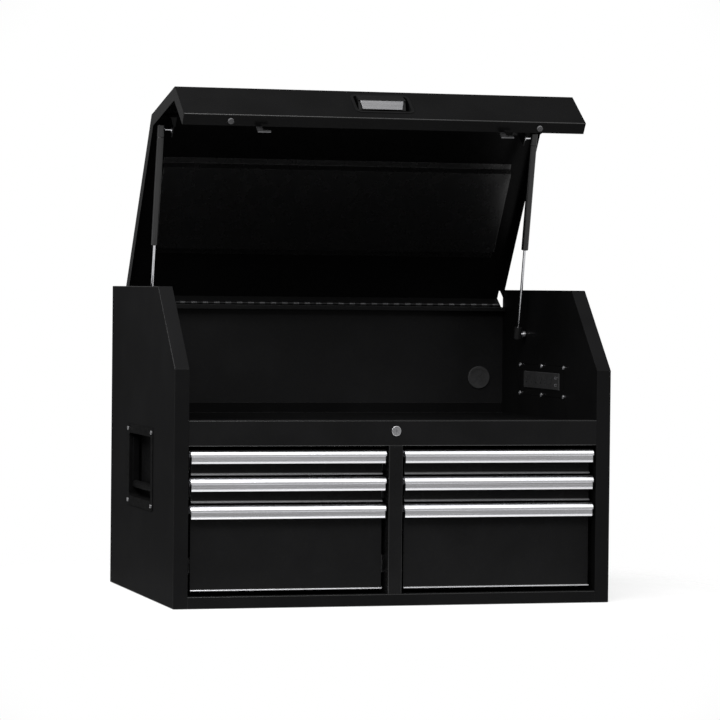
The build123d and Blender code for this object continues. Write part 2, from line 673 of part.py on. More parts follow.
# Till floor
with BuildPart() as till_floor:
    with BuildSketch(Plane.YZ):
        rear = BACK_FACE - SEAT
        floor = [(RAIL_BACK + SEAT, TILL - SHEET), (rear, TILL - SHEET), (rear, TILL + TILL_REAR)]
        polygon(strip(floor, SHEET))
    extrude(amount=FIXED_HALF, both=True)
    for side in SIDES.values():
        with BuildSketch(Plane.YZ.offset(side * FIXED_HALF)):
            block((RAIL_BACK + UPSTAND, TILL - TILL_SIDE), (rear - UPSTAND, TILL - SHEET))
        extrude(amount=-side * SHEET)
save(till_floor, "till_floor")

# Top rail, with the lock's hole, the slots of the latch hooks and the rivets of the latch bar
with BuildPart() as top_rail:
    with BuildSketch(Plane.YZ):
        rail = [(RAIL_BACK, RAIL_TOP - RAIL_RETURN), (RAIL_BACK, RAIL_TOP), (FRONT, RAIL_TOP)]
        rail += [(FRONT, RAIL_BOTTOM), (FRONT + RAIL_FOOT, RAIL_BOTTOM)]
        polygon(strip(rail, SHEET))
    extrude(amount=FIXED_HALF, both=True)
    fold(top_rail, (FRONT, RAIL_TOP), (FRONT, RAIL_BOTTOM))
    disc(LOCK_FRONT, LOCK_BODY + SEAT, -SHEET, Mode.SUBTRACT)
    with BuildSketch(Plane.XY.offset(RAIL_TOP)):
        for start in HOOK_STARTS:
            block(
                (start - SLOT_ROOM, HOOK_FRONT - HOOK_DROP / 2 - SLOT_ROOM),
                (start + HOOK_FOOT + SLOT_ROOM, HOOK_BACK + SLOT_ROOM),
            )
    extrude(amount=-SHEET, mode=Mode.SUBTRACT)
    for x in (-RIVET_X, RIVET_X):
        rivet = Plane(origin=(x, RAIL_BACK - SHEET, LOCK_Z), x_dir=(1, 0, 0), z_dir=(0, -1, 0))
        disc(rivet, RIVET_RADIUS, BAR_SHEET + 2 * RUN)
        disc(rivet.offset(BAR_SHEET + 2 * RUN), RIVET_HEAD, RIVET_CAP)
save(top_rail, "top_rail")

# Divider between the drawer columns, whose front is the post
with BuildPart() as center_divider:
    with BuildSketch(Plane.YZ):
        divider_back = BACK_FACE - SHEET - 2 * SEAT
        under_till = TILL - SHEET - SEAT
        behind_rail = RAIL_BACK + SEAT
        behind_base = FRONT + BASE_RETURN + SEAT
        polygon([
            (FRONT, BASE_RAIL + SEAT),
            (FRONT, RAIL_BOTTOM - SEAT),
            (behind_rail, RAIL_BOTTOM - SEAT),
            (behind_rail, under_till),
            (divider_back, under_till),
            (divider_back, SHEET + SEAT),
            (behind_base, SHEET + SEAT),
            (behind_base, BASE_RAIL + SEAT),
        ])
    extrude(amount=POST / 2, both=True)
    fillet(center_divider.edges().filter_by(Axis.Z).group_by(Axis.Y)[0], BEND)
    with BuildSketch(Plane.XY):
        block((SHEET - POST / 2, FRONT + SHEET), (POST / 2 - SHEET, BACK))
    extrude(amount=HEIGHT, mode=Mode.SUBTRACT)
save(center_divider, "center_divider")

# Drawers: three rows in two columns, each on a pair of three-part slides
top_row = RAIL_BOTTOM - TOP_GAP
middle_row = top_row - SHALLOW - ROW_GAP
bottom_row = middle_row - SHALLOW - ROW_GAP
ROWS = (
    (top_row - SHALLOW, top_row),
    (middle_row - SHALLOW, middle_row),
    (BASE_RAIL + BASE_GAP, bottom_row),
)


def slide_height(low, high):
    """Middle of a row's slides: half way up a shallow box, near the floor of a deep one."""
    return low + BOX_RAISE + min(DEEP_SLIDE, (high - BOX_DROP - low - BOX_RAISE) / 2)


def bay_walls(column):
    """The two walls of a bay, each with the way that looks into the bay."""
    return ((column * INNER, -column), (column * POST / 2, column))


with BuildPart() as slide_rails:
    for column in SIDES.values():
        for low, high in ROWS:
            for x, way in bay_walls(column):
                slide_member(x, way, slide_height(low, high), 0)
save(slide_rails, "slide_rails")

for side_name, column in SIDES.items():
    for row_name, (low, high) in zip(ROW_NAMES, ROWS):
        name = f"{side_name}_{row_name}"
        save(drawer_box(column * BAY_X, low, high), f"{name}_drawer")
        save(drawer_pull(column * BAY_X, high), f"{name}_pull")
        for layer, part_name in ((1, "slide_middle"), (2, "slide_inner")):
            with BuildPart() as members:
                for x, way in bay_walls(column):
                    slide_member(x, way, slide_height(low, high), layer)
            save(members, f"{name}_{part_name}")

# Lid: one folded sheet with skirts at its ends
LID_PATH = [
    (KNUCKLE + RUN + SHEET, LID_HEEL),
    (KNUCKLE + RUN + SHEET, LID_TOP),
    on_lid(FRONT + SLOPE, HEIGHT),
    on_lid(FRONT, BROW + LID_RISE),
    on_lid(FRONT, LID_BASE),
    on_lid(FRONT + LID_LIP, LID_BASE),
]
LID_FRONT = Plane(
    origin=LID_SIDE.from_local_coords((*on_lid(FRONT, BROW - CUP_DROP), 0)),
    x_dir=(1, 0, 0),
    z_dir=-LID_BACKWARD,
)
LID_UNDER = Plane(
    origin=LID_SIDE.from_local_coords((*on_lid(FRONT, LID_BASE), 0)),
    x_dir=(1, 0, 0),
    z_dir=-LID_UP,
)
with BuildPart() as lid_pan:
    with BuildSketch(LID_SIDE) as section:
        polygon(strip(LID_PATH, SHEET))
        fillet([section.vertices().sort_by_distance(corner)[0] for corner in LID_PATH[1:5]], BEND)
    extrude(amount=LID_HALF, both=True)
    for side in SIDES.values():
        with BuildSketch(LID_SIDE.offset(side * LID_HALF)) as skirt:
            polygon(strip(LID_PATH[:5], LID_SKIRT))
            fillet([skirt.vertices().sort_by_distance(corner)[0] for corner in LID_PATH[1:4]], BEND)
        extrude(amount=-side * SHEET)
        with BuildSketch(LID_SIDE.offset(side * LID_HALF)):
            block((-RELIEF_LENGTH, 0), (LID_PATH[0][0], LID_TOP))
        extrude(amount=-side * LID_RELIEF, mode=Mode.SUBTRACT)
    with BuildSketch(LID_FRONT):
        RectangleRounded(CUP_LENGTH + 2 * SEAT, CUP_HEIGHT + 2 * SEAT, CUP_CORNER)
    extrude(amount=-2 * SHEET, mode=Mode.SUBTRACT)
save(lid_pan, "lid_pan")

with BuildPart() as lid_stiffener:
    with BuildSketch(LID_SIDE):
        rear = -STIFFENER_REAR
        ahead = FRONT + SLOPE + STIFFENER_AHEAD - HINGE_Y
        floor = LID_CEILING - STIFFENER_RISE
        hat = [
            (rear + STIFFENER_FLANGE, LID_CEILING),
            (rear, LID_CEILING),
            (rear - STIFFENER_LEAN, floor),
            (ahead + STIFFENER_LEAN, floor),
            (ahead, LID_CEILING),
            (ahead - STIFFENER_FLANGE, LID_CEILING),
        ]
        polygon(strip(hat, SHEET))
    extrude(amount=LID_HALF - STIFFENER_INSET, both=True)
save(lid_stiffener, "lid_stiffener")

# Lid handle: a moulded cup with a hood in its upper half, and the plate under the hood
PLATE_EDGE = LID_FRONT.from_local_coords((0, PLATE_RISE, PLATE_PROUD))
PLATE_FACE = Plane(PLATE_EDGE, LID_FRONT.x_dir, LID_FRONT.z_dir).rotated((PLATE_LEAN, 0, 0))
# Sketches on this plane run up the front of the lid, and out of it
HOOD_SIDE = Plane(origin=LID_FRONT.origin, x_dir=LID_UP, z_dir=(1, 0, 0))


def on_hood(along, depth):
    """Place along the plate from its long edge, and under its face, in the side view of the hood."""
    place = HOOD_SIDE.to_local_coords(PLATE_FACE.from_local_coords((0, along, -depth)))
    return (place.X, place.Y)


with BuildPart() as lid_handle_cup:
    cup_floor = CUP_WALL - CUP_DEPTH
    with BuildSketch(LID_FRONT):
        RectangleRounded(CUP_LENGTH + 2 * CUP_RIM, CUP_HEIGHT + 2 * CUP_RIM, CUP_CORNER + CUP_RIM)
    extrude(amount=CUP_PROUD)
    with BuildSketch(LID_FRONT):
        RectangleRounded(CUP_LENGTH, CUP_HEIGHT, CUP_CORNER)
    extrude(amount=-CUP_DEPTH)
    with BuildSketch(LID_FRONT.offset(CUP_PROUD)):
        RectangleRounded(CUP_LENGTH - 2 * CUP_WALL, CUP_HEIGHT - 2 * CUP_WALL, CUP_CORNER - CUP_WALL)
    extrude(amount=cup_floor - CUP_PROUD, mode=Mode.SUBTRACT)
    with BuildSketch(HOOD_SIDE):
        under = PLATE_SHEET + SEAT
        polygon([
            (CUP_HEIGHT / 2, CUP_PROUD),
            on_hood(HOOD_LIP, 0),
            on_hood(SEAT, 0),
            on_hood(SEAT, under),
            on_hood(-PLATE_HEIGHT, under),
            on_hood(-PLATE_HEIGHT, under + HOOD_EDGE),
            (HOOD_HEEL, cup_floor),
            (CUP_HEIGHT / 2, cup_floor),
        ])
    extrude(amount=PLATE_TOP / 2 + HOOD_PAST, both=True)
save(lid_handle_cup, "lid_handle_cup")

with BuildPart() as lid_handle_plate:
    with BuildSketch(PLATE_FACE):
        long_edge = [(-PLATE_TOP / 2, 0), (PLATE_TOP / 2, 0)]
        short_edge = [(PLATE_BASE / 2, -PLATE_HEIGHT), (-PLATE_BASE / 2, -PLATE_HEIGHT)]
        polygon(long_edge + short_edge)
    extrude(amount=-PLATE_SHEET)
    plate_front = lid_handle_plate.faces().sort_by(Axis(PLATE_EDGE, PLATE_FACE.z_dir))[-1]
    chamfer(plate_front.edges(), PLATE_SHEET / 5)
save(lid_handle_plate, "lid_handle_plate")

with BuildPart() as lid_bumpers:
    with BuildSketch(LID_UNDER):
        with Locations((-BUMPER_X, -BUMPER_SET), (BUMPER_X, -BUMPER_SET)):
            Circle(BUMPER_RADIUS)
    extrude(amount=LID_LIFT - RUN)
save(lid_bumpers, "lid_bumpers")

# Latch hooks: a tab on the lip, a leg down behind it and a foot to the right
with BuildPart() as lid_latch_hooks:
    lip_top = LID_BASE + SHEET + SEAT
    tab_top = lip_top + HOOK_SHEET
    for start in HOOK_STARTS:
        with BuildSketch(LID_SIDE.offset(start)):
            block(on_lid(HOOK_BACK - HOOK_BASE, lip_top), on_lid(HOOK_BACK, tab_top))
            block(on_lid(HOOK_FRONT, HOOK_TIP), on_lid(HOOK_BACK, tab_top))
        extrude(amount=HOOK_LEG)
        with BuildSketch(LID_SIDE.offset(start)):
            block(on_lid(HOOK_FRONT, HOOK_TIP), on_lid(HOOK_BACK, HOOK_TIP + HOOK_TOE))
        extrude(amount=HOOK_FOOT)
save(lid_latch_hooks, "lid_latch_hooks")

# Long hinge
hinge_body_leaf = hinge_leaf(
    HINGE_SIDE,
    0,
    (-CABINET_LEAF, -KNUCKLE - RUN),
    (-KNUCKLE - RUN, LEAF - KNUCKLE - RUN),
    (-KNUCKLE - RUN, -KNUCKLE - RUN),
    (0, LEAF - KNUCKLE - RUN),
)
save(hinge_body_leaf, "hinge_body_leaf")
hinge_lid_leaf = hinge_leaf(
    LID_SIDE,
    1,
    (KNUCKLE + RUN - LEAF, KNUCKLE + RUN),
    (KNUCKLE + RUN, LID_LEAF),
    (KNUCKLE + RUN - LEAF, 0),
    (KNUCKLE + RUN, KNUCKLE + RUN),
)
save(hinge_lid_leaf, "hinge_lid_leaf")
with BuildPart() as hinge_pin:
    with BuildSketch(HINGE_SIDE):
        Circle(HINGE_PIN)
    extrude(amount=LID_HALF - HINGE_INSET, both=True)
save(hinge_pin, "hinge_pin")

# Gas struts, their wall studs and their brackets on the lid
for name, side in SIDES.items():
    save(strut_cylinder(side), f"{name}_strut_cylinder")
    save(strut_rod(side), f"{name}_strut_rod")

with BuildPart() as strut_wall_studs:
    for side in SIDES.values():
        pivot = outward(side, STRUT_X, FOOT_Y, FOOT_Z)
        with Locations(pivot):
            Sphere(BALL_RADIUS)
        disc(pivot, STUD_RADIUS, INNER - STRUT_X)
        disc(pivot.offset(INNER - STRUT_X - STUD_BOSS), STUD_BASE, STUD_BOSS)
save(strut_wall_studs, "strut_wall_studs")

with BuildPart() as strut_lid_brackets:
    for side in SIDES.values():
        web = side * (STRUT_X - SOCKET_RADIUS - BRACKET_REACH)
        low = (HEAD_U - BRACKET_AHEAD, HEAD_V - BRACKET_BELOW)
        high = (HEAD_U - BRACKET_AHEAD + BRACKET_LENGTH, LID_CEILING)
        with BuildSketch(LID_SIDE.offset(web)):
            block(low, high)
        extrude(amount=-side * BRACKET_SHEET)
        with BuildSketch(LID_SIDE.offset(web)):
            block((low[0], LID_CEILING - BRACKET_SHEET), high)
        extrude(amount=-side * BRACKET_TAB)
        with BuildSketch(LID_SIDE.offset(web)):
            with Locations((HEAD_U, HEAD_V)):
                Circle(STUD_RADIUS)
        extrude(amount=side * (BRACKET_REACH - RUN))
        with BuildSketch(LID_SIDE.offset(web)):
            with Locations((HEAD_U, HEAD_V)):
                Circle(STUD_BASE)
        extrude(amount=side * STUD_SEAT)
save(strut_lid_brackets, "strut_lid_brackets")

# Lock: a fixed housing and a turning plug, whose cam pin slides the latch bar
with BuildPart() as lock_housing:
    disc(LOCK_FRONT, LOCK_BEZEL, LOCK_PROUD)
    fillet(lock_housing.faces().sort_by(Axis.Y)[0].edges(), LOCK_PROUD / 2)
    disc(LOCK_FRONT, LOCK_BODY, FRONT - CAM_FRONT + RUN)
    disc(LOCK_FRONT.offset(LOCK_PROUD), PLUG_RADIUS + PLAY, FRONT - CAM_FRONT - LOCK_PROUD, Mode.SUBTRACT)
save(lock_housing, "lock_housing")

with BuildPart() as lock_plug:
    plug_front = LOCK_FRONT.offset(LOCK_PROUD + PLUG_PROUD)
    disc(plug_front, PLUG_RADIUS, FRONT - CAM_FRONT - LOCK_PROUD - PLUG_PROUD)
    disc(LOCK_FRONT.offset(FRONT - CAM_FRONT), CAM_RADIUS, -CAM_SHEET)
    with BuildSketch(LOCK_FRONT.offset(FRONT - CAM_BACK)):
        with Locations((CAM_PIN_X, -CAM_PIN_X)):
            Circle(CAM_PIN)
    extrude(amount=-CAM_ROOM - BAR_SHEET)
    with BuildSketch(plug_front):
        Rectangle(KEYWAY_WIDTH, KEYWAY_HEIGHT)
    extrude(amount=-KEYWAY_DEPTH, mode=Mode.SUBTRACT)
save(lock_plug, "lock_plug")

with BuildPart() as lock_bar:
    first_finger, last_finger = (start + HOOK_FOOT + FINGER_ROOM for start in HOOK_STARTS)
    with BuildSketch(LOCK_FRONT.offset(FRONT - BAR_FRONT)):
        bar_end = last_finger + FINGER_WIDTH + BAR_PAST
        block((first_finger - BAR_PAST, -BAR_BELOW), (bar_end, BAR_ABOVE))
        for x in (first_finger, last_finger):
            block((x, 0), (x + FINGER_WIDTH, FINGER_HIGH - LOCK_Z))
        slot_low = -CAM_THROW - CAM_PIN - CAM_PLAY
        slot_high = -CAM_PIN_X + CAM_PIN + CAM_PLAY
        slot_half = CAM_PIN + CAM_PLAY
        block((CAM_PIN_X - slot_half, slot_low), (CAM_PIN_X + slot_half, slot_high), mode=Mode.SUBTRACT)
        room = RIVET_RADIUS + RUN
        for x in (-RIVET_X, RIVET_X):
            block((x - room, -room), (x + room + BAR_TRAVEL, room), mode=Mode.SUBTRACT)
    extrude(amount=-BAR_SHEET)
    for x in (first_finger, last_finger):
        with BuildSketch(LOCK_FRONT.offset(FRONT - BAR_FRONT)):
            block((x, FINGER_LOW - LOCK_Z), (x + FINGER_WIDTH, FINGER_HIGH - LOCK_Z))
        extrude(amount=FINGER_REACH)
save(lock_bar, "lock_bar")

# Power strip, held from behind the right inner wall
STRIP_FACE = Plane(origin=(INNER, STRIP_Y, STRIP_Z), x_dir=(0, -1, 0), z_dir=(-1, 0, 0))
with BuildPart() as power_strip:
    with BuildSketch(STRIP_FACE):
        Rectangle(STRIP_LENGTH, STRIP_HEIGHT)
    extrude(amount=STRIP_PROUD)
    chamfer(power_strip.faces().sort_by(Axis.X)[0].edges(), STRIP_EDGE)
    with BuildSketch(STRIP_FACE):
        Rectangle(STRIP_LENGTH, STRIP_HEIGHT)
    extrude(amount=-STRIP_DEPTH)
    with BuildSketch(STRIP_FACE.offset(-SHEET - SEAT)):
        Rectangle(2 * (STRIP_SCREW_Y + STRIP_RIM), STRIP_SCREW_Z + 2 * STRIP_RIM)
        with GridLocations(STRIP_SCREW_Y, STRIP_SCREW_Z, 3, 2):
            Circle(SCREW_HOLE, mode=Mode.SUBTRACT)
    extrude(amount=-STRIP_PLATE)
    with BuildSketch(STRIP_FACE.offset(STRIP_PROUD)):
        with Locations((-OUTLET_SHIFT, 0)):
            with GridLocations(OUTLET_PITCH, 0, OUTLETS, 1):
                with Locations((-BLADE_GAP / 2, EARTH_DROP / 3), (BLADE_GAP / 2, EARTH_DROP / 3)):
                    Rectangle(BLADE_WIDTH, BLADE_LENGTH)
                with Locations((0, -EARTH_DROP * 2 / 3)):
                    Circle(EARTH_RADIUS)
        with Locations((USB_SHIFT, USB_PITCH / 2), (USB_SHIFT, -USB_PITCH / 2)):
            Rectangle(USB_LENGTH, USB_HEIGHT)
            Rectangle(USB_LENGTH - USB_TONGUE, USB_TONGUE, mode=Mode.SUBTRACT)
    extrude(amount=-OUTLET_DEPTH, mode=Mode.SUBTRACT)
save(power_strip, "power_strip")

# Cable grommet: a ring with a scored membrane
GROMMET_FACE = Plane(origin=(GROMMET_X, BACK_FACE, GROMMET_Z), x_dir=(1, 0, 0), z_dir=(0, -1, 0))
with BuildPart() as cable_grommet:
    disc(GROMMET_FACE, GROMMET_RIM, GROMMET_PROUD)
    fillet(cable_grommet.faces().sort_by(Axis.Y)[0].edges(), GROMMET_PROUD / 2)
    disc(GROMMET_FACE, GROMMET_BODY, -2 * SHEET)
    ring = GROMMET_BODY - GROMMET_PROUD
    disc(GROMMET_FACE.offset(GROMMET_PROUD), ring, GROMMET_WEB - GROMMET_PROUD, Mode.SUBTRACT)
    disc(GROMMET_FACE, ring, -2 * SHEET, Mode.SUBTRACT)
    with BuildSketch(GROMMET_FACE.offset(GROMMET_WEB)):
        Circle(GROMMET_EYE)
        for index in range(GROMMET_PETALS // 2):
            Rectangle(2 * ring - GROMMET_EYE, GROMMET_SCORE, rotation=index * 360 / GROMMET_PETALS)
    extrude(amount=-GROMMET_CUT, mode=Mode.SUBTRACT)
save(cable_grommet, "cable_grommet")

# Screws of the side handles and of the power strip
with BuildPart() as panel_screws:
    for side in SIDES.values():
        screws(outward(side, WIDTH / 2 + BEZEL, POCKET_Y, POCKET_Z), BEZEL_SCREW_Y, BEZEL_SCREW_Z, 2, 2)
    screws(STRIP_FACE, STRIP_SCREW_Y, STRIP_SCREW_Z, 3, 2)
save(panel_screws, "panel_screws")
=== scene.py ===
import json
import math

import bpy
from mathutils import Matrix, Vector


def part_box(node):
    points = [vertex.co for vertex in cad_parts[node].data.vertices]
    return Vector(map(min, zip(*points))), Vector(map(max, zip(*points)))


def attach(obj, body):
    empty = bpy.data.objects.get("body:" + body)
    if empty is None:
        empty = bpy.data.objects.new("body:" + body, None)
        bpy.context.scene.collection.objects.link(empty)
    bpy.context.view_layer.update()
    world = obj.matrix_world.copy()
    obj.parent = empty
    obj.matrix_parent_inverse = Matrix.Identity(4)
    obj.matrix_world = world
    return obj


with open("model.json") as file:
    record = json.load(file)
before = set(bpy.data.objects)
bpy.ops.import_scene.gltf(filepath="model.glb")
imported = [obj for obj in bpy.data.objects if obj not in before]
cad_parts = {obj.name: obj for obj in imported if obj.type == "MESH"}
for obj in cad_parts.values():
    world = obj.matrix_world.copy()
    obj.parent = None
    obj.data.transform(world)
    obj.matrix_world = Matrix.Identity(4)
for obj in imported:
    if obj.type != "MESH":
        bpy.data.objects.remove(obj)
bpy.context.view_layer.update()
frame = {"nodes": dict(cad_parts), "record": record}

scene = bpy.context.scene
nodes = frame["nodes"]
record = frame["record"]
joints = {row["name"]: row for row in record["behaviour"]["joints"]}
scene.view_settings.view_transform = "Standard"

# Camera at the photograph's place: metres, degrees, and the lens in millimetres for a square picture
CAMERA_PLACE = Vector((-1.8707, -6.6498, 0.6348))
CAMERA_YAW = -15.795
CAMERA_PITCH = 1.220
CAMERA_ROLL = 0.591
CAMERA_LENS = 164.47
CAMERA_SENSOR = 36.0
CAMERA_NEAR = 0.1
CAMERA_FAR = 100

# Borders between two finishes on one solid, in metres
SOCKET_NECK = 0.0151     # plastic socket of a strut's rod, from its pivot
STUD_START = 0.3872      # studs of the lid's brackets, from the middle of the chest
STUD_BRIGHT = 0.0150     # bright part of a wall stud, from its strut's axis
KNUCKLE_REACH = 0.0044   # knuckles, from the hinge's axis
SCREW_SPLIT = 0.4480     # screws of the side handles, from the middle of the chest
MASK_SOFT = 0.0001       # half the width of a border

# Colour sockets of a Mix node, which has sockets of the same name for other kinds of value
MIX_FIRST = 6
MIX_SECOND = 7
MIX_RESULT = 2

# Finishes
COAT_GLOSS = 0.06        # specular level of the powder coat
EDGE_GLOSS = 0.6         # and where handling has polished its edges
PLASTIC_GLOSS = 0.3      # specular level of moulded pieces
SOCKET_GLOSS = 0.25      # and of the black part of two-finish pieces
PATCHES = (0.35, 0.65)   # range of a noise that soft patches stretch over
WANDER = (0.3, 0.7)      # and that a wandering shine stretches over
BRUSH_SPREAD = 0.04      # roughness of brush lines, either way
PATCH_SHADE = 0.973      # darkest patches of bare metal, as a share of its brightness
DARKER_SHARE = 0.5         # darker plating where a mask is 1, as a share of its darker grey
BLUE_TINT = 1.03         # blue share of the greys, as in the studio's black

# Edges of sheet steel
EDGE = 0.0005            # width of the rounded edges, metres
EDGE_STEPS = 2
EDGE_ANGLE = 40.0        # degrees, edges sharper than this are rounded
EDGE_TURN = (0.985, 0.93)   # cosines to the nearest flat where an edge starts and is whole
SLOPE_TILT = 46.0        # degrees, normals of the slopes above level
WELD_REACH = 0.00002     # points nearer than this are one, metres

# Rolled hem along the foot of each drawer's front, in metres
HEM_HEIGHT = 0.0032
HEM_PROUD = 0.0011
HEM_STEPS = 8            # flats around the roll

# Metal shells of the two ports in the power strip, in metres
PORT_AHEAD = 0.097       # ahead of the strip's middle
PORT_PITCH = 0.015
PORT_LENGTH = 0.0135
PORT_HEIGHT = 0.0060
PORT_WALL = 0.0006
PORT_DEPTH = 0.0075
PORT_PROUD = 0.0003
TONGUE_LENGTH = 0.0110   # contact tongue inside a port
TONGUE_HEIGHT = 0.0024

# Pale floor
FLOOR_WHITE = 0.6        # radius of the floor that is whole, metres
FLOOR_EDGE = 1.0         # radius where it has faded away
FLOOR_SIDES = 96
FLOOR_DROP = 0.001       # below the chest's foot, metres
FLOOR_GREYS = (0.36, 0.39)
FLOOR_GLOW = 0.66        # its own light, for eyes and mirrors only

# White card behind the chest
CARD_INNER = 7.9         # degrees around the camera's way that are white
CARD_OUTER = 15.4        # degrees around it where the white has ended

# Bands of the studio around: start and end along Y or Z of the way looked, and the level at both
GLOW_AHEAD = (0.05, -0.5, 0, 1)         # soft light ahead of the chest, along Y
GLOW_RISE = (-0.11, 0.02, 0.10, 0.26)   # and along Z
CEILING_RISE = (0.36, 0.52, 0, 1.5)     # bright ceiling, along Z
CEILING_AHEAD = (0.2, -0.4, 0, 1)       # and along Y
ROOM_RISE = (-0.09, 0.04, 0.03, 0.19)   # dim room on all sides, along Z
BESIDE_BACK = (-0.35, 0.0, 0, 1)        # pale ground at the sides and behind, along Y
BESIDE_SINK = (0.0, -0.12, 0, 0.92)     # and along Z
GROUND_SINK = (-0.15, -0.30, 0, 0.92)   # pale ground below, along Z


def camera_axes():
    """Right, up and ahead of the camera, which looks past the chest's left side, nearly level."""
    yaw, pitch, roll = (math.radians(a) for a in (CAMERA_YAW, CAMERA_PITCH, CAMERA_ROLL))
    ahead = Vector((
        -math.sin(yaw) * math.cos(pitch),
        math.cos(yaw) * math.cos(pitch),
        -math.sin(pitch),
    ))
    level = Vector((math.cos(yaw), math.sin(yaw), 0))
    rise = level.cross(ahead)
    right = level * math.cos(roll) + rise * math.sin(roll)
    up = rise * math.cos(roll) - level * math.sin(roll)
    return right, up, ahead


def add_camera():
    """Camera at the photograph's place."""
    right, up, ahead = camera_axes()
    data = bpy.data.cameras.new("camera")
    data.sensor_width = CAMERA_SENSOR
    data.lens = CAMERA_LENS
    data.clip_start = CAMERA_NEAR
    data.clip_end = CAMERA_FAR
    camera = bpy.data.objects.new("camera", data)
    axes = Matrix((right, up, -ahead)).transposed()
    camera.matrix_world = Matrix.Translation(CAMERA_PLACE) @ axes.to_4x4()
    scene.collection.objects.link(camera)
    scene.camera = camera


class Recipe:
    """Adds and links the nodes of one material or of the world."""

    def __init__(self, owner):
        owner.use_nodes = True
        self.owner = owner
        self.tree = owner.node_tree
        self.coordinates = self.add("ShaderNodeTexCoord").outputs
        self.place = self.coordinates["Object"]

    def add(self, kind, **settings):
        node = self.tree.nodes.new(kind)
        for key, value in settings.items():
            setattr(node, key, value)
        return node

    def feed(self, socket, value):
        """Link a socket, or set a constant."""
        if isinstance(value, bpy.types.NodeSocket):
            self.tree.links.new(value, socket)
        else:
            socket.default_value = value

    def math(self, operation, first, second=0):
        node = self.add("ShaderNodeMath", operation=operation)
        self.feed(node.inputs[0], first)
        self.feed(node.inputs[1], second)
        return node.outputs[0]

    def vector(self, operation, first, second):
        node = self.add("ShaderNodeVectorMath", operation=operation)
        self.feed(node.inputs[0], first)
        self.feed(node.inputs[1], second)
        return node.outputs["Value" if operation in ("DOT_PRODUCT", "DISTANCE") else "Vector"]

    def split(self, vector):
        """X, Y and Z of a vector."""
        node = self.add("ShaderNodeSeparateXYZ")
        self.feed(node.inputs[0], vector)
        return tuple(node.outputs)

    def ramp(self, value, start, end, low=0.0, high=1.0):
        """Smooth step of a value, from low at the start to high at the end."""
        node = self.add("ShaderNodeMapRange", interpolation_type="SMOOTHSTEP")
        self.feed(node.inputs["Value"], value)
        for name, number in (("From Min", start), ("From Max", end), ("To Min", low), ("To Max", high)):
            node.inputs[name].default_value = number
        return node.outputs["Result"]

    def noise(self, scale, detail, rough=0.5, place=None):
        node = self.add("ShaderNodeTexNoise")
        node.inputs["Scale"].default_value = scale
        node.inputs["Detail"].default_value = detail
        node.inputs["Roughness"].default_value = rough
        self.feed(node.inputs["Vector"], place or self.place)
        return node.outputs["Fac"]

    def mix(self, factor, first, second):
        """Colour mix; first and second are colours or sockets."""
        node = self.add("ShaderNodeMix", data_type="RGBA")
        self.feed(node.inputs["Factor"], factor)
        self.feed(node.inputs[MIX_FIRST], first)
        self.feed(node.inputs[MIX_SECOND], second)
        return node.outputs[MIX_RESULT]

    def seen_rays(self):
        """1 for rays that look at a surface, straight, mirrored or through glass, and 0 for others."""
        path = self.add("ShaderNodeLightPath").outputs
        seen = self.math("MAXIMUM", path["Is Camera Ray"], path["Is Transmission Ray"])
        return self.math("MAXIMUM", seen, path["Is Glossy Ray"])


class Surface(Recipe):
    """A material, with its shader's sockets at hand."""

    def __init__(self, name):
        super().__init__(bpy.data.materials.new(name))
        self.shader = self.tree.nodes["Principled BSDF"]

    def set(self, **values):
        """Constants or sources for the shader's own sockets."""
        for key, value in values.items():
            self.feed(self.shader.inputs[key.replace("_", " ")], value)

    def bump(self, height, strength, distance):
        node = self.add("ShaderNodeBump")
        node.inputs["Strength"].default_value = strength
        node.inputs["Distance"].default_value = distance
        self.feed(node.inputs["Height"], height)
        self.feed(self.shader.inputs["Normal"], node.outputs["Normal"])


def grey(value):
    """Neutral colour with a faint blue."""
    return (value, value, value * BLUE_TINT, 1)


def cloudy(made, scale, greys):
    """Soft patches between a dark and a light grey."""
    return made.mix(made.ramp(made.noise(scale, detail=5), *PATCHES), *map(grey, greys))


def varied(made, scale, middle, spread):
    """Roughness that wanders around its middle."""
    return made.ramp(made.noise(scale, detail=4), *WANDER, middle - spread, middle + spread)


def edge_mask(made, turn):
    """Mask that is 1 on the rounded edges of sheet work, where the normal leaves the flats.

    The flats are square to each other or slope, and turn is how far they are turned about X.
    """
    normal = made.coordinates["Normal"]
    widest = made.math("ABSOLUTE", made.vector("DOT_PRODUCT", normal, (1, 0, 0)))
    for tilt in (turn, turn + math.pi / 2, turn + math.radians(SLOPE_TILT)):
        along = made.vector("DOT_PRODUCT", normal, (0, -math.cos(tilt), math.sin(tilt)))
        widest = made.math("MAXIMUM", widest, made.math("ABSOLUTE", along))
    return made.ramp(widest, *EDGE_TURN)


def powder_coat(name, greys, rough, gloss=COAT_GLOSS, turn=None, edge=EDGE_GLOSS):
    """Black powder coat: faint mottling and a fine orange-peel skin.

    Where the turn of a sheet's flats about X is given, its edges are polished.
    """
    made = Surface(name)
    if turn is not None:
        gloss = made.ramp(edge_mask(made, turn), 0, 1, gloss, edge)
    made.set(
        Base_Color=cloudy(made, scale=8, greys=greys),
        Roughness=varied(made, scale=38, middle=rough, spread=0.012),
        Specular_IOR_Level=gloss,
    )
    made.bump(made.noise(scale=620, detail=2), strength=0.008, distance=0.0003)
    return made.owner


def brushed(name, greys, rough, grain):
    """Bare metal with fine brush lines; grain scales the coordinates along each axis."""
    made = Surface(name)
    along = made.vector("MULTIPLY", made.place, grain)
    lines = made.noise(scale=1, detail=4, rough=0.6, place=along)
    made.set(
        Base_Color=made.mix(made.ramp(lines, *WANDER), *map(grey, greys)),
        Roughness=made.ramp(lines, *WANDER, rough - BRUSH_SPREAD, rough + BRUSH_SPREAD),
        Metallic=1.0,
    )
    made.bump(lines, strength=0.05, distance=0.0001)
    return made.owner


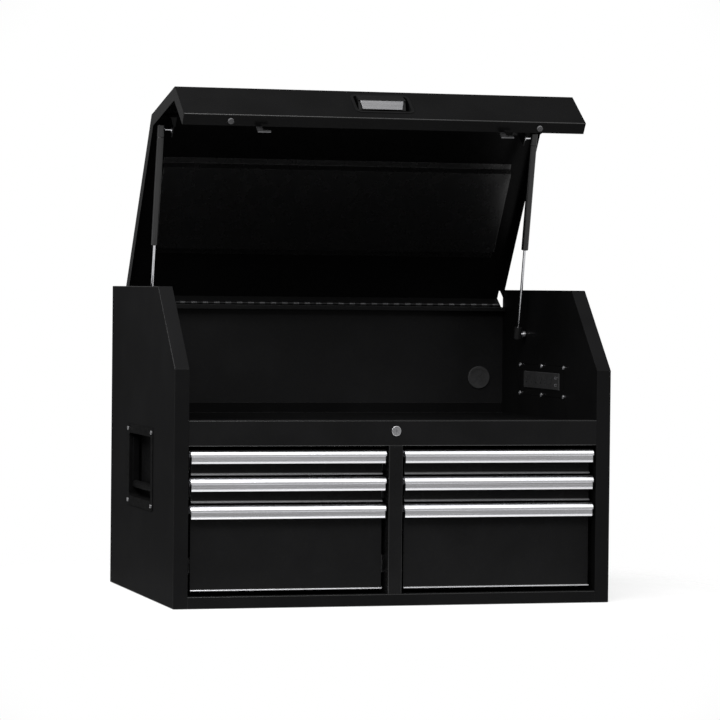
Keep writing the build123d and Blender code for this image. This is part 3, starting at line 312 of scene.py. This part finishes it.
def plated(name, greys, rough, darken=None):
    """Plated steel: soft cloudy patches and fine handling marks, darker where a mask is 1."""
    made = Surface(name)
    colour = cloudy(made, scale=60, greys=greys)
    if darken:
        colour = made.mix(darken(made), colour, grey(greys[0] * DARKER_SHARE))
    made.set(
        Base_Color=colour,
        Roughness=varied(made, scale=240, middle=rough, spread=0.06),
        Metallic=1.0,
    )
    made.bump(made.noise(scale=900, detail=2), strength=0.04, distance=0.0002)
    return made.owner


def moulded(name, greys, rough, grain, gloss=PLASTIC_GLOSS):
    """Moulded plastic or rubber with a fine spark-eroded grain."""
    made = Surface(name)
    made.set(
        Base_Color=cloudy(made, scale=45, greys=greys),
        Roughness=varied(made, scale=160, middle=rough, spread=0.07),
        Specular_IOR_Level=gloss,
    )
    made.bump(made.noise(grain, detail=3), strength=0.2, distance=0.0003)
    return made.owner


def part_metal(name, mask, dull, bright, dull_rough, bright_rough):
    """Two finishes on one piece: black where the mask is 0, bare metal where it is 1."""
    made = Surface(name)
    where = mask(made)
    patches = made.ramp(made.noise(scale=90, detail=4), *PATCHES)
    metal = made.mix(patches, grey(bright * PATCH_SHADE), grey(bright))
    made.set(
        Base_Color=made.mix(where, grey(dull), metal),
        Metallic=where,
        Roughness=made.math(
            "ADD",
            made.ramp(where, 0, 1, dull_rough, bright_rough),
            made.ramp(made.noise(scale=200, detail=3), *WANDER, low=-0.03, high=0.05),
        ),
        Specular_IOR_Level=SOCKET_GLOSS,
    )
    made.bump(made.noise(scale=800, detail=2), strength=0.05, distance=0.0002)
    return made.owner


def past(pivot, way, distance):
    """Mask that is 1 further than a distance along a way from a pivot."""
    def mask(made):
        offset = made.vector("SUBTRACT", made.place, pivot)
        along = made.vector("DOT_PRODUCT", offset, way)
        return made.ramp(along, distance - MASK_SOFT, distance + MASK_SOFT)
    return mask


def outboard(distance, inside=0):
    """Mask that is 1 further than a distance from the middle plane, or nearer if inside is 1."""
    def mask(made):
        reach = made.math("ABSOLUTE", made.split(made.place)[0])
        return made.ramp(reach, distance - MASK_SOFT, distance + MASK_SOFT, inside, 1 - inside)
    return mask


def near_axis(pivot, distance):
    """Mask that is 1 near the X axis through a pivot."""
    def mask(made):
        flat = made.vector("MULTIPLY", made.place, (0, 1, 1))
        reach = made.vector("DISTANCE", flat, (0, pivot[1], pivot[2]))
        return made.ramp(reach, distance, distance - 2 * MASK_SOFT)
    return mask


def bare_rod():
    """Mask that is 1 where a strut's rod has left its foot socket."""
    foot = Vector(joints["left_strut_swing"]["pos_m"])
    way = -Vector(joints["left_strut_slide"]["axis"])
    return past(Vector((0, foot.y, foot.z)), way, SOCKET_NECK)


def slot_finishes():
    """Finish of each material slot."""
    knuckles = near_axis(joints["lid_hinge"]["pos_m"], KNUCKLE_REACH)
    return {
        "black_coat": powder_coat("black_coat", greys=(0.0074, 0.0092), rough=0.27, turn=0),
        "drawer_coat": powder_coat("drawer_coat", greys=(0.0074, 0.0092), rough=0.27, turn=0),
        "pull_aluminium": brushed("pull_aluminium", greys=(0.80, 0.88), rough=0.24, grain=(3, 900, 900)),
        "plate_aluminium": brushed(
            "plate_aluminium", greys=(0.10, 0.14), rough=0.38, grain=(6, 700, 700)
        ),
        # the zinc takes a darker grey than bare zinc plating: painted shade for the slide ends deep in
        # the gaps between the drawers
        "zinc_steel": plated("zinc_steel", greys=(0.22, 0.30), rough=0.4),
        "hinge_steel": part_metal(
            "hinge_steel", knuckles, dull=0.004, bright=0.06, dull_rough=0.5, bright_rough=0.45
        ),
        "lock_chrome": plated("lock_chrome", greys=(0.56, 0.66), rough=0.2),
        "strut_tube": powder_coat("strut_tube", greys=(0.006, 0.008), rough=0.2, gloss=0.5),
        "strut_rod": part_metal(
            "strut_rod", bare_rod(), dull=0.008, bright=0.7, dull_rough=0.48, bright_rough=0.16
        ),
        "pocket_plastic": moulded(
            "pocket_plastic", greys=(0.0038, 0.0050), rough=0.5, grain=900, gloss=0.003
        ),
        "cup_plastic": moulded("cup_plastic", greys=(0.0034, 0.0046), rough=0.46, grain=900, gloss=0.12),
        "strip_plastic": moulded("strip_plastic", greys=(0.020, 0.026), rough=0.5, grain=900),
        "grey_rubber": moulded("grey_rubber", greys=(0.10, 0.14), rough=0.7, grain=600),
        "black_rubber": moulded("black_rubber", greys=(0.020, 0.028), rough=0.62, grain=700),
    }


def own_finishes():
    """Finishes of the nodes that differ from others in their slot."""
    hinge = joints["lid_hinge"]
    knuckles = near_axis(hinge["pos_m"], KNUCKLE_REACH)
    lid_turn = math.radians(hinge["range_deg"][1])
    strut_axis = abs(joints["left_strut_swing"]["pos_m"][0])
    side_coat = powder_coat(
        "side_coat", greys=(0.0080, 0.0092), rough=0.3, gloss=0.0003, turn=0, edge=0.06
    )
    # the inner walls take a darker copy of the powder coat: painted shade inside the chest
    wall_coat = powder_coat("wall_coat", greys=(0.0030, 0.0040), rough=0.5, gloss=0.03)
    return {
        "left_side_panel": side_coat,
        "right_side_panel": side_coat,
        "left_inner_wall": wall_coat,
        "right_inner_wall": wall_coat,
        # the bottom panel takes a darker copy of the powder coat: painted shade along the chest's foot
        "bottom_panel": powder_coat("base_coat", greys=(0.0058, 0.0070), rough=0.27, gloss=0.03, turn=0),
        # the lid takes a darker copy of the powder coat: painted shade on its underside
        "lid_pan": powder_coat("lid_coat", greys=(0.0042, 0.0052), rough=0.27, gloss=0.05, turn=lid_turn),
        # the till floor takes a darker, duller copy of the powder coat: painted shade inside the chest
        "till_floor": powder_coat("till_coat", greys=(0.0026, 0.0036), rough=0.7, gloss=0.02, turn=0),
        # the screws of the side handles are darker than those of the power strip
        "panel_screws": plated("screw_steel", greys=(0.80, 0.90), rough=0.42, darken=outboard(SCREW_SPLIT)),
        "lid_latch_hooks": plated("hook_steel", greys=(0.10, 0.15), rough=0.4),
        # the body leaf's knuckles are brighter and the lid leaf's darker: painted light and shade that
        # breaks the hinge's highlight into dashes
        "hinge_body_leaf": part_metal(
            "body_leaf_steel", knuckles, dull=0.004, bright=0.10, dull_rough=0.5, bright_rough=0.42
        ),
        "hinge_lid_leaf": part_metal(
            "lid_leaf_steel", knuckles, dull=0.0055, bright=0.03, dull_rough=0.45, bright_rough=0.45
        ),
        "strut_wall_studs": part_metal(
            "stud_steel", outboard(strut_axis + STUD_BRIGHT, inside=1),
            dull=0.006, bright=0.85, dull_rough=0.4, bright_rough=0.4,
        ),
        "strut_lid_brackets": part_metal(
            "bracket_steel", outboard(STUD_START),
            dull=0.006, bright=0.7, dull_rough=0.4, bright_rough=0.2,
        ),
    }


def round_edges(piece):
    """Round the sharp edges of a folded sheet, so that they catch the light."""
    weld = piece.modifiers.new("weld", "WELD")
    weld.merge_threshold = WELD_REACH
    bevel = piece.modifiers.new("edges", "BEVEL")
    bevel.width = EDGE
    bevel.segments = EDGE_STEPS
    bevel.limit_method = "ANGLE"
    bevel.angle_limit = math.radians(EDGE_ANGLE)
    piece.modifiers.new("normals", "WEIGHTED_NORMAL")


def dress_solids():
    """Give each node its finish, and folded sheets their rounded edges."""
    by_slot, by_node = slot_finishes(), own_finishes()
    for row in record["subparts"]:
        node, slot = row["node"], row["material_slot"]
        materials = nodes[node].data.materials
        materials.clear()
        materials.append(by_node[node] if node in by_node else by_slot[slot])
        if slot in ("black_coat", "drawer_coat"):
            round_edges(nodes[node])


def rectangle_loop(half_length, half_height, corner):
    """Corner points of a rectangle with cut corners, around the origin."""
    a, b, c = half_length, half_height, corner
    ahead = [(a - c, b), (a, b - c), (a, c - b), (a - c, -b)]
    behind = [(c - a, -b), (-a, c - b), (-a, b - c), (c - a, b)]
    return ahead + behind


def new_piece(name, points, faces, material, body):
    """Mesh of its own that rides a body and takes one finish."""
    mesh = bpy.data.meshes.new(name)
    mesh.from_pydata(points, [], faces)
    mesh.materials.append(material)
    piece = bpy.data.objects.new(name, mesh)
    scene.collection.objects.link(piece)
    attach(piece, body)


def ring_faces(rings, count, closed):
    """Quads between neighbouring rings of points, numbered ring by ring."""
    faces = []
    for ring in range(rings if closed else rings - 1):
        after = (ring + 1) % rings
        for i in range(count):
            j = (i + 1) % count
            faces.append((ring * count + i, ring * count + j, after * count + j, after * count + i))
    return faces


def bar_faces(count):
    """Sides and both ends of a bar between two rings of points."""
    ends = [tuple(range(count)), tuple(reversed(range(count, 2 * count)))]
    return ring_faces(2, count, closed=False) + ends


def add_hem(tray, drawer, finish):
    """Half-round rolled hem along the foot of a drawer's front."""
    low, high = (Vector(corner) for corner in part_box(drawer))
    turns = [math.pi * i / HEM_STEPS for i in range(HEM_STEPS + 1)]
    roll = [(-HEM_PROUD * math.sin(t), HEM_HEIGHT / 2 * (1 - math.cos(t))) for t in turns]
    points = [Vector((x, low.y + y, low.z + z)) for x in (low.x, high.x) for y, z in roll]
    new_piece(f"{tray}_hem", points, bar_faces(len(roll)), finish, tray)


def add_hems():
    """Hems of the six drawers; those of the top and middle drawers take a darker copy of the hem steel,
    painted shade from the pulls next to them.
    """
    bare = brushed("hem_steel", greys=(0.46, 0.58), rough=0.32, grain=(3, 900, 900))
    # darker copy of the hem steel: painted shade on the hems next to the upper pulls
    dull = brushed("dull_hem_steel", greys=(0.11, 0.15), rough=0.42, grain=(3, 900, 900))
    for side in ("left", "right"):
        for tier, finish in (("top", dull), ("middle", dull), ("bottom", bare)):
            add_hem(f"{side}_{tier}_tray", f"{side}_{tier}_drawer", finish)


def add_port(name, centre, finish):
    """Folded metal shell of one port, open to the till, with its contact tongue."""
    outer = rectangle_loop(PORT_LENGTH / 2, PORT_HEIGHT / 2, PORT_WALL * 2)
    inner = rectangle_loop(PORT_LENGTH / 2 - PORT_WALL, PORT_HEIGHT / 2 - PORT_WALL, PORT_WALL)
    tongue = rectangle_loop(TONGUE_LENGTH / 2, TONGUE_HEIGHT / 2, PORT_WALL)
    loops = [(outer, 0), (inner, 0), (inner, PORT_DEPTH), (outer, PORT_DEPTH)]
    points = [centre + Vector((depth, y, z)) for loop, depth in loops for y, z in loop]
    faces = ring_faces(len(loops), len(outer), closed=True)
    new_piece(f"{name}_shell", points, faces, finish, "cabinet")
    points = [centre + Vector((depth, y, z)) for depth in (PORT_WALL, PORT_DEPTH) for y, z in tongue]
    new_piece(f"{name}_tongue", points, bar_faces(len(tongue)), finish, "cabinet")


def add_ports():
    """Two ports at the front end of the power strip."""
    finish = plated("port_steel", greys=(0.80, 0.90), rough=0.42)
    low, high = (Vector(corner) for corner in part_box("power_strip"))
    middle = (low + high) / 2
    for name, side in (("upper_port", 1), ("lower_port", -1)):
        height = middle.z + side * PORT_PITCH / 2
        add_port(name, Vector((low.x - PORT_PROUD, middle.y - PORT_AHEAD, height)), finish)


def add_floor():
    """Plain pale floor that fades into the studio and keeps a soft shadow."""
    turns = [2 * math.pi * i / FLOOR_SIDES for i in range(FLOOR_SIDES)]
    rim = [(FLOOR_EDGE * math.cos(t), FLOOR_EDGE * math.sin(t), 0) for t in turns]
    mesh = bpy.data.meshes.new("floor")
    mesh.from_pydata(rim, [], [tuple(range(FLOOR_SIDES))])
    floor = bpy.data.objects.new("floor", mesh)
    floor.location.z = -FLOOR_DROP
    scene.collection.objects.link(floor)
    made = Surface("floor_paper")
    reach = made.vector("DISTANCE", made.place, (0, 0, 0))
    tint = made.ramp(made.noise(scale=6, detail=3), *WANDER)
    made.set(
        Base_Color=made.mix(tint, *((level, level, level, 1) for level in FLOOR_GREYS)),
        Roughness=0.9,
        Specular_IOR_Level=0.1,
        Emission_Color=(1, 1, 1, 1),
        Emission_Strength=made.math("MULTIPLY", made.seen_rays(), FLOOR_GLOW),
        Alpha=made.ramp(reach, FLOOR_WHITE, FLOOR_EDGE, 1, 0),
    )
    mesh.materials.append(made.owner)


def add_world():
    """White card behind the chest, bright ceiling ahead, dim room, and pale ground to look at."""
    scene.world = bpy.data.worlds.new("studio")
    made = Recipe(scene.world)
    way = made.coordinates["Generated"]
    back, up = made.split(way)[1:]
    toward = made.vector("DOT_PRODUCT", way, camera_axes()[2])
    card = made.ramp(toward, *(math.cos(math.radians(a)) for a in (CARD_OUTER, CARD_INNER)))
    glow = made.math("MULTIPLY", made.ramp(back, *GLOW_AHEAD), made.ramp(up, *GLOW_RISE))
    ceiling = made.math("MULTIPLY", made.ramp(up, *CEILING_RISE), made.ramp(back, *CEILING_AHEAD))
    room = made.math("ADD", made.math("MAXIMUM", glow, ceiling), made.ramp(up, *ROOM_RISE))
    beside = made.math("MULTIPLY", made.ramp(back, *BESIDE_BACK), made.ramp(up, *BESIDE_SINK))
    below = made.math("MAXIMUM", made.ramp(up, *GROUND_SINK), beside)
    ground = made.math("MULTIPLY", made.seen_rays(), below)
    level = made.math("MAXIMUM", made.math("MAXIMUM", card, room), ground)
    background = made.tree.nodes["Background"].inputs
    background["Color"].default_value = (1, 1, 1, 1)
    made.feed(background["Strength"], level)


def softbox(name, place, target, width, height, power):
    """Large soft lamp that looks at a target."""
    data = bpy.data.lights.new(name, "AREA")
    data.shape = "RECTANGLE"
    data.size = width
    data.size_y = height
    data.energy = power
    lamp = bpy.data.objects.new(name, data)
    lamp.location = place
    lamp.rotation_euler = (Vector(target) - Vector(place)).to_track_quat("-Z", "Y").to_euler()
    scene.collection.objects.link(lamp)


dress_solids()
add_hems()
add_ports()
add_camera()
add_floor()
add_world()
softbox("key", place=(-0.6, -2.6, 2.9), target=(0, 0, 0.4), width=2.2, height=1.2, power=70)
softbox("left", place=(-1.4, -0.25, 1.5), target=(-0.45, -0.2, 0.62), width=0.7, height=0.7, power=26)
